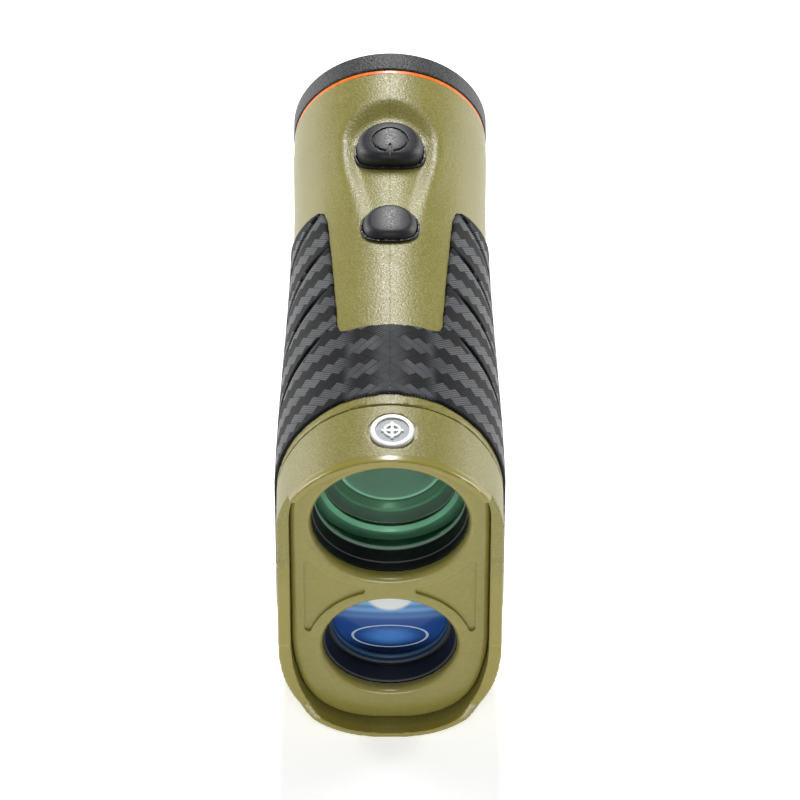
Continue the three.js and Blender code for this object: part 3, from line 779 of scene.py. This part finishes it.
# ---- Front ----
BROW_Z = 63.4
BADGE_X = 0.4
BADGE_Y = -46.9
BADGE_FIELD_Z = 74.1
BADGE_TOP_Z = 74.38
BADGE_FOOT_Z = 73.6
BADGE_RADIUS = 3.9
BADGE_FIELD_RADIUS = 3.05
MARK_HALF = 0.28
MARK_REACH = 2.0
RIM = 2.3
RIM_THINNING = 1.1
MOUTH_FLOOR_Y = -48.7
SPIGOT_INSET = 2.9
SPIGOT_WALL = 1.5
SPIGOT_FRONT_Y = -46.0
SPIGOT_REAR_Y = -36.5
POCKET_DEPTH = 0.6


def mouth_wall(z):
    """Thickness of the bezel's rim: full at the sides, thin at the brow and the chin."""
    return RIM - RIM_THINNING * (smoothstep(z, 54.0, 63.0) + smoothstep(-z, -17.0, -2.0))


def lip_front(z):
    """Front of the bezel's rim: a proud brow and chin, with stepped side lips between them."""
    heights = [5.1, 8.3, 24.0, 24.3, 41.0, 46.5, BROW_Z - 0.4, BROW_Z]
    fronts = [FRONT_Y, -53.2, -53.2, -53.4, -53.4, -52.5, -52.5, FRONT_Y]
    return np.interp(z, heights, fronts)


def bezel_field(x, y, z):
    """Front bezel: brow, side lips and chin around the recessed plate, and a spigot behind."""
    skin = section_field(x, y, z)
    rim = round_and(skin, lip_front(z) - y, 0.35)
    rim = round_and(rim, y - joint_y(z) + 0.3, 0.2)
    mouth = np.maximum(skin + mouth_wall(z), y - MOUTH_FLOOR_Y)
    rim = cut(rim, mouth, 0.2)
    spigot = np.maximum(np.maximum(skin + SPIGOT_INSET, y - SPIGOT_REAR_Y), SPIGOT_FRONT_Y - y)
    body = np.minimum(rim, spigot)
    body = np.maximum(body, -(skin + SPIGOT_INSET + SPIGOT_WALL))
    seat = np.hypot(x - BADGE_X, y - BADGE_Y) - BADGE_RADIUS - 0.5
    seat = np.maximum(seat, BADGE_FOOT_Z - 0.1 - z)
    return cut(body, seat, 0.12)


def plate_field(x, y, z):
    """Lens plate: two apertures with broad rolled edges and two shallow pockets."""
    skin = section_field(x, y, z) + mouth_wall(z) + 0.15
    front = PLATE_Y - y
    upper = np.hypot(x, z - AXIS_Z)
    lower = np.hypot(x, z - LOWER_AXIS_Z)
    plate = round_and(skin, front, 1.1)
    plate = round_and(plate, UPPER_APERTURE - upper, 1.45)
    plate = round_and(plate, LOWER_APERTURE - lower, 1.3)
    plate = np.maximum(plate, y - PLATE_Y - PLATE_THICK)
    arcs = round_and(17.3 - upper, 15.1 - lower, 0.3)
    box = round_and(np.abs(x) - 15.6, np.abs(z - 34.9) - 9.5, 1.0)
    pocket = round_and(round_and(box, arcs, 0.5), 4.6 - np.abs(x), 0.4)
    pocket = np.maximum(pocket, y - PLATE_Y - POCKET_DEPTH)
    return round_and(plate, -pocket, 0.3)


def badge_field(x, y, z):
    """Round badge: a raised rim, a sunk field and a plain cross-hair mark."""
    px = x - BADGE_X
    py = y - BADGE_Y
    radius = np.hypot(px, py)
    disc = round_and(np.maximum(radius - BADGE_RADIUS, BADGE_FOOT_Z - z), z - BADGE_TOP_Z, 0.18)
    field = np.maximum(radius - BADGE_FIELD_RADIUS, BADGE_FIELD_Z - z)
    post = np.maximum(np.abs(px) - MARK_HALF, np.abs(py) - MARK_REACH)
    beam = np.maximum(np.abs(py) - MARK_HALF, np.abs(px) - MARK_REACH)
    hoop = np.abs(radius - 1.35) - 0.24
    mark = np.minimum(np.minimum(post, beam), hoop)
    return round_and(disc, -np.maximum(field, -mark), 0.05)


# ---- Turned pieces ----
def softened(profile, radius, steps=3):
    """Closed profile with each corner off the axis rounded."""
    points = []
    count = len(profile)
    for i in range(count):
        before = np.array(profile[i - 1], float)
        corner = np.array(profile[i], float)
        after = np.array(profile[(i + 1) % count], float)
        if corner[0] < 1e-6:
            points.append(corner)
            continue
        back = before - corner
        ahead = after - corner
        reach = min(radius, 0.45 * np.linalg.norm(back), 0.45 * np.linalg.norm(ahead))
        start = corner + back / np.linalg.norm(back) * reach
        end = corner + ahead / np.linalg.norm(ahead) * reach
        for k in range(steps + 1):
            t = k / steps
            points.append((1 - t) ** 2 * start + 2 * t * (1 - t) * corner + t**2 * end)
    return points


def turned(name, profile, axis_z, material, radius=0.15, segments=128, ripple=None):
    """Turns a closed (radius, y) profile about a lengthwise axis; ripple moves the rim radius."""
    outline = softened(profile, radius) if radius else [np.array(p, float) for p in profile]
    points = []
    for r, y in outline:
        for k in range(segments):
            angle = 2 * math.pi * k / segments
            grown = r + (ripple(angle, r, y) if ripple else 0.0)
            points.append((grown * math.sin(angle), y, axis_z + grown * math.cos(angle)))
    faces = []
    count = len(outline)
    for i in range(count):
        if outline[i][0] < 1e-6 and outline[(i + 1) % count][0] < 1e-6:
            continue
        for k in range(segments):
            a = i * segments + k
            b = i * segments + (k + 1) % segments
            c = ((i + 1) % count) * segments
            faces.append((a, b, c + (k + 1) % segments, c + k))
    piece = new_object(name, points, faces, material)
    bm = bmesh.new()
    bm.from_mesh(piece.data)
    bmesh.ops.remove_doubles(bm, verts=bm.verts[:], dist=1e-7)
    bmesh.ops.recalc_face_normals(bm, faces=bm.faces)
    bm.to_mesh(piece.data)
    bm.free()
    piece.data.set_sharp_from_angle(angle=CREASE_ANGLE)
    return piece


def lens_profile(radius, edge_front, edge_rear, bulge_front, bulge_rear, steps=14):
    """Profile of a lens with bulged faces, from the axis over the rim and back."""
    share = [i / steps for i in range(steps + 1)]
    front = [(radius * t, edge_front - bulge_front * (1 - t * t)) for t in share]
    rear = [(radius * t, edge_rear + bulge_rear * (1 - t * t)) for t in reversed(share)]
    return front + rear


# ---- Build: casing, grips and front ----
for side, word in ((1, "right"), (-1, "left")):
    across = (-0.6, 21.6) if side > 0 else (-21.6, 0.6)
    shell = moulded(
        f"{word}_shell_skin",
        shell_field(side),
        (across[0], -43.5, -0.6),
        (across[1], 49.5, 75.0),
        SHELL_CELL,
        FINISH["olive_grained"],
        side,
    )
    finish_piece(shell, "root", "olive_grained", f"{word}_shell")
    grip = moulded(
        f"{word}_grip_skin",
        grip_field,
        (across[0], -42.2, 10.0),
        (across[1], 27.0, 75.5),
        GRIP_CELL,
        FINISH["grip_rubber"],
        side,
    )
    finish_piece(grip, "root", "grip_rubber", f"{word}_grip")

bezel = moulded(
    "bezel_skin",
    bezel_field,
    (-21.4, -55.0, -0.6),
    (21.4, -36.0, 75.0),
    BEZEL_CELL,
    FINISH["olive_bezel"],
)
finish_piece(bezel, "root", "olive_grained", "front_bezel")
plate = moulded(
    "lens_plate_skin",
    plate_field,
    (-19.2, -51.6, 1.2),
    (19.2, -48.4, 72.8),
    PLATE_CELL,
    FINISH["olive_smooth"],
)
finish_piece(plate, "root", "olive_smooth", "lens_plate")
badge = moulded(
    "badge_disc",
    badge_field,
    (-4.2, -51.6, 73.2),
    (5.0, -42.2, 74.8),
    BADGE_CELL,
    FINISH["badge_white"],
)
badge.data.materials.append(FINISH["badge_field"])
for face in badge.data.polygons:
    if abs(face.center.z / MM - BADGE_FIELD_Z) < 0.03 and face.normal.z > 0.9:
        face.material_index = 1
finish_piece(badge, "root", "badge_white", "badge")

for word, button, body in (("power", POWER_BUTTON, "power_key"), ("mode", MODE_BUTTON, "mode_key")):
    half_x = button["half_x"] + 1.2
    half_y = button["half_y"] + 1.2
    low = (-half_x, button["y"] - half_y, 66.0)
    high = (half_x, button["y"] + half_y, button["top"] + 0.4)
    key = moulded(
        f"{word}_key_cap",
        button_field(button, word == "power"),
        low,
        high,
        KEY_CELL,
        FINISH["button_rubber"],
    )
    finish_piece(key, body, "button_rubber", f"{word}_button")
    seal = moulded(f"{word}_flange", seal_field(button), low, high, SEAL_CELL, FINISH["button_rubber"])
    finish_piece(seal, "root", "button_rubber", f"{word}_button_seal")

# ---- Build: accent ring ----
ring = turned(
    "accent_band", [(16.9, 48.75), (18.1, 48.75), (18.1, 49.65), (16.9, 49.65)], AXIS_Z,
    FINISH["accent_orange"], 0.12,
)
finish_piece(ring, "root", "accent_orange", "accent_ring")


# ---- Optics seen from the front ----
OBJECTIVE_BAFFLE = [
    (14.9, -48.7), (15.6, -48.7), (15.6, -30.0), (11.6, -9.5), (10.7, -9.5), (9.3, -31.0), (9.9, -31.0),
    (9.9, -35.2), (10.7, -36.2), (11.2, -36.3), (12.0, -38.3), (12.3, -38.4), (12.3, -38.9), (12.15, -39.1),
    (12.9, -40.0), (14.9, -40.0),
]


def baffle_material():
    """Blackened barrel with the coating's green cast and a pale ring at the lens seat."""
    shade = Shade("objective_baffle", 0.3)
    _, y, _ = shade.axes()
    fine = shade.noise(0.5)
    deep = shade.mix(shade.ramp(y, -35.4, -38.2), (*srgb(52, 92, 70), 1), (*srgb(22, 48, 36), 1))
    pale = shade.math("MULTIPLY", shade.ramp(y, -39.0, -39.25), shade.ramp(y, -40.1, -39.85))
    shown = shade.mix(pale, deep, (*srgb(158, 172, 166), 1))
    groove = shade.math("MULTIPLY", shade.ramp(y, -38.3, -38.5), shade.ramp(y, -39.1, -38.95))
    shown = shade.mix(groove, shown, (*srgb(8, 16, 14), 1))
    front = shade.ramp(y, -40.4, -41.0)
    shade.color(shade.mix(front, shown, (*srgb(30, 62, 48), 1)))
    shade.bump(fine, 0.006)
    return shade.material


def receiver_material():
    """Coated receiver lens with painted reflections: blue bands brightening its upper part, a thin oval
    reflection of a ring and a pale patch near the top; darker towards the bottom.
    """
    shade = Shade("receiver_coating_painted_reflections", 0.12)
    shade.shader.inputs["Specular IOR Level"].default_value = 0.2
    x, _, z = shade.axes()
    height = shade.math("SUBTRACT", z, LOWER_AXIS_Z)
    # Painted reflection: the upper part painted brighter in blue bands.
    bands = shade.math("SINE", shade.math("MULTIPLY", height, 3.4))
    banded = shade.math("MULTIPLY_ADD", bands, 0.25, 0.75)
    painted_reflection_bands = shade.math("MULTIPLY", shade.ramp(height, -1.5, 4.0), banded)
    low = shade.ramp(height, -9.8, -4.0)
    shown = shade.mix(low, (*srgb(14, 22, 44), 1), (*srgb(38, 70, 132), 1))
    shown = shade.mix(painted_reflection_bands, shown, (*srgb(120, 168, 214), 1))
    # Painted reflection of a ring: a thin pale oval with a lighter inside.
    u = shade.math("DIVIDE", x, 6.9)
    v = shade.math("DIVIDE", shade.math("ADD", height, 4.9), 3.2)
    reflected_ring_oval = shade.math("SQRT", shade.math("ADD", shade.math("MULTIPLY", u, u), shade.math("MULTIPLY", v, v)))
    hoop = shade.ramp(shade.math("ABSOLUTE", shade.math("SUBTRACT", reflected_ring_oval, 1.0)), 0.05, 0.015)
    inside = shade.ramp(reflected_ring_oval, 1.0, 0.2)
    shown = shade.mix(inside, shown, (*srgb(70, 120, 190), 1))
    shown = shade.mix(hoop, shown, (*srgb(172, 190, 204), 1))
    # Painted reflection: a pale patch near the top of the lens.
    reflection_patch_u = shade.math("DIVIDE", x, 4.4)
    reflection_patch_v = shade.math("DIVIDE", shade.math("SUBTRACT", height, 6.5), 4.0)
    pale = shade.math("ADD", shade.math("MULTIPLY", reflection_patch_u, reflection_patch_u), shade.math("MULTIPLY", reflection_patch_v, reflection_patch_v))
    shade.color(shade.mix(shade.ramp(pale, 1.25, 0.75), shown, (*srgb(214, 218, 214), 1)))
    shade.bump(shade.noise(2.0), 0.002)
    return shade.material


baffle = turned("objective_baffle_tube", OBJECTIVE_BAFFLE, AXIS_Z, baffle_material(), 0.08)
finish_piece(baffle, "root", "black_anodised", "objective_barrel")
crown_lens = turned(
    "objective_front_lens", lens_profile(13.85, -43.6, -42.4, 0.8, 0.6), AXIS_Z, FINISH["coated_green"], 0.0
)
crown_lens.visible_shadow = False
finish_piece(crown_lens, "root", "coated_green", "objective_crown_lens")
flint_lens = turned(
    "objective_rear_lens", lens_profile(9.75, -34.9, -31.9, 0.5, 0.2), AXIS_Z,
    ringed(
        "flint_coating", AXIS_Z,
        [(0, srgb(108, 114, 110)), (8.6, srgb(114, 122, 118)), (9.2, srgb(176, 190, 184))],
        0.12, 0.5,
    ),
    0.0,
)
finish_piece(flint_lens, "root", "optical_glass", "objective_flint_lens")
objective_ring = turned(
    "objective_lock_ring",
    [
        (14.15, -48.7), (14.6, -48.7), (14.6, -43.2), (13.6, -43.2), (13.6, -43.9), (13.85, -44.2),
        (13.85, -46.9), (14.15, -47.0),
    ],
    AXIS_Z,
    ringed("objective_ring_black", AXIS_Z, [(0, srgb(150, 176, 164)), (13.68, srgb(12, 13, 17))], 0.5),
    0.08,
)
finish_piece(objective_ring, "root", "black_anodised", "objective_retaining_ring")
receiver_glass = turned(
    "receiver_front_lens", lens_profile(10.4, -43.4, -41.2, 0.8, 0.3), LOWER_AXIS_Z, receiver_material(), 0.0
)
finish_piece(receiver_glass, "root", "coated_blue", "receiver_lens")
receiver_ring = turned(
    "receiver_lock_ring",
    [
        (12.3, -48.8), (12.35, -43.2), (10.45, -43.2), (10.45, -43.8), (10.75, -44.2),
        (10.75, -44.9), (11.5, -45.1), (11.5, -45.6), (11.2, -45.8), (11.9, -48.6),
    ],
    LOWER_AXIS_Z,
    ringed(
        "receiver_ring_black", LOWER_AXIS_Z,
        [
            (0, srgb(44, 78, 110)), (10.75, srgb(20, 34, 52)), (10.95, srgb(6, 8, 12)),
            (11.35, srgb(14, 20, 32)),
        ],
        0.5,
    ),
    0.06,
)
finish_piece(receiver_ring, "root", "black_anodised", "receiver_retaining_ring")

# ---- Rear pieces ----
EYECUP = [
    (15.4, 43.5), (16.3, 43.5), (16.3, 49.8), (18.35, 49.8), (18.35, 54.15), (18.0, REAR_Y), (16.4, REAR_Y),
    (15.4, 52.6), (14.2, 50.9), (14.2, 49.9), (15.4, 49.7),
]


KNURL_DEPTH = 0.28
KNURL_RIBS = 56


def knurl(angle, r, y):
    """Fine ribs around the dioptre ring's outside."""
    if r < 13.2 or y < 49.6 or y > 52.4:
        return 0.0
    return -KNURL_DEPTH * (0.5 + 0.5 * math.cos(KNURL_RIBS * angle))


cup = turned("eyecup_rubber", EYECUP, AXIS_Z, FINISH["cup_rubber"], 0.35, 192)
finish_piece(cup, "eyecup", "cup_rubber", "eyecup")
dioptre = turned(
    "dioptre_knurled_ring",
    [(10.3, 45.0), (13.5, 45.0), (13.5, 49.7), (13.5, 52.3), (13.1, 52.8), (10.3, 52.8)],
    AXIS_Z, FINISH["black_plastic"], 0.15, 336, knurl,
)
finish_piece(dioptre, "diopter", "black_plastic", "diopter_ring")
eye_glass = turned(
    "eyepiece_lens", lens_profile(8.65, 46.4, 47.8, 1.0, 1.1), AXIS_Z, FINISH["optical_glass"], 0.0
)
eye_glass.visible_shadow = False
finish_piece(eye_glass, "ocular", "optical_glass", "eye_lens")
cell = turned(
    "ocular_cell_tube",
    [(8.75, 27.0), (9.7, 27.0), (9.7, 51.2), (8.2, 51.2), (8.0, 50.6), (8.75, 48.6)],
    AXIS_Z, FINISH["black_anodised"], 0.12,
)
finish_piece(cell, "ocular", "black_anodised", "ocular_cell")


CAP_RADIUS = 10.6
CAP_REAR_Y = 49.2
CAP_FRONT_Y = 45.8
COIN_EDGE_RIBS = 36
TAB_HALF = 3.1
PIN_Y = 48.25
PIN_DROP = 0.2


def cap_field(x, y, z):
    """Battery cap: a coin-edged disc with a slot for the folding tab."""
    height = z - BATTERY_Z
    radius = np.hypot(x, height)
    angle = np.arctan2(x, height)
    rim = radius - CAP_RADIUS + 0.22 * (0.5 + 0.5 * np.cos(COIN_EDGE_RIBS * angle))
    head = round_and(rim, y - CAP_REAR_Y, 0.6)
    head = round_and(head, CAP_FRONT_Y - y, 0.15)
    plug = np.maximum(radius - 7.9, 43.9 - y)
    plug = np.maximum(plug, y - 46.5)
    dish = np.maximum(radius - 8.6, 48.75 - y)
    dish = np.maximum(dish, -(np.abs(x) - 4.6))
    cap = cut(np.minimum(head, plug), dish, 0.15)
    slot = np.maximum(np.abs(x) - 3.4, np.abs(height - 3.4) - 5.0)
    slot = np.maximum(slot, 46.8 - y)
    return cut(cap, slot, 0.15)


def tab_field(x, y, z):
    """Folding tab: a flat leaf with a finger hollow and a knuckle on the cap's pin."""
    height = z - BATTERY_Z
    width = np.abs(x) - TAB_HALF
    from_pin = np.hypot(y - PIN_Y, height + PIN_DROP)
    leaf = round_and(width, np.abs(height - 4.05) - 3.85, 1.0)
    leaf = round_and(leaf, np.abs(y - 48.35) - 0.65, 0.12)
    hollow = np.hypot(np.hypot(x, height - 4.6), y - 51.2) - 2.7
    leaf = round_and(leaf, -hollow, 0.12)
    knuckle = np.maximum(from_pin - 1.1, width)
    root = np.maximum(np.maximum(width, np.abs(height - 0.35) - 0.65), np.abs(y - PIN_Y) - 0.55)
    tab = np.minimum(np.minimum(leaf, knuckle), root)
    return np.maximum(tab, 0.9 - from_pin)


cap = moulded(
    "battery_cap_coined",
    cap_field,
    (-10.9, 43.6, 9.0),
    (10.9, 49.5, 31.0),
    CAP_CELL,
    FINISH["black_plastic"],
)
finish_piece(cap, "cap", "black_plastic", "battery_cap")
tab = moulded(
    "battery_cap_tab",
    tab_field,
    (-3.4, 46.8, 18.4),
    (3.4, 49.5, 28.4),
    TAB_CELL,
    FINISH["black_plastic"],
)
finish_piece(tab, "tab", "black_plastic", "cap_tab")


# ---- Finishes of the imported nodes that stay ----
for row in frame["record"]["subparts"]:
    node = bpy.data.objects.get(row["node"])
    if node is None or node.type != "MESH":
        continue
    node.data.materials.clear()
    node.data.materials.append(FINISH[row["material_slot"]])


# ---- Stage and light ----
FLOOR_SIZE = 6.0
FLOOR_GLOW = 0.52
WORLD_STRENGTH = 0.2


def make_stage():
    bpy.ops.mesh.primitive_plane_add(size=FLOOR_SIZE, location=(0, 0, 0))
    floor = bpy.context.object
    floor.name = "floor"
    paper = grained("floor", (242, 242, 242), (246, 246, 246), 0.9, 40.0, 0.05)
    shader = paper.node_tree.nodes["Principled BSDF"]
    shader.inputs["Emission Color"].default_value = (1, 1, 1, 1)
    shader.inputs["Emission Strength"].default_value = FLOOR_GLOW
    floor.data.materials.append(paper)


def area_light(name, location, target, size, power, size_y=None):
    data = bpy.data.lights.new(name, "AREA")
    data.energy = power
    data.shape = "RECTANGLE"
    data.size = size
    data.size_y = size_y or size
    light = bpy.data.objects.new(name, data)
    light.location = location
    aim = Vector(target) - Vector(location)
    light.rotation_euler = aim.to_track_quat("-Z", "Y").to_euler()
    bpy.context.scene.collection.objects.link(light)


make_stage()
area_light("overhead", (0.0, -0.75, 0.95), (0, 0, 0.05), 0.26, 2.6)
area_light("back_strip", (0.0, 0.9, 0.95), (0, 0, 0.06), 0.1, 15.0, 0.5)
area_light("front", (0.0, -1.3, 0.04), (0, 0, 0.04), 0.6, 4.4, 0.08)
area_light("left", (-1.0, 0.45, 0.3), (0, 0, 0.05), 0.35, 6.0, 0.5)
area_light("right", (1.0, 0.45, 0.3), (0, 0, 0.05), 0.35, 6.0, 0.5)
world = bpy.data.worlds.new("studio")
world.use_nodes = True
world.node_tree.nodes["Background"].inputs["Color"].default_value = (1, 1, 1, 1)
world.node_tree.nodes["Background"].inputs["Strength"].default_value = WORLD_STRENGTH
bpy.context.scene.world = world
bpy.context.scene.view_settings.view_transform = "Standard"
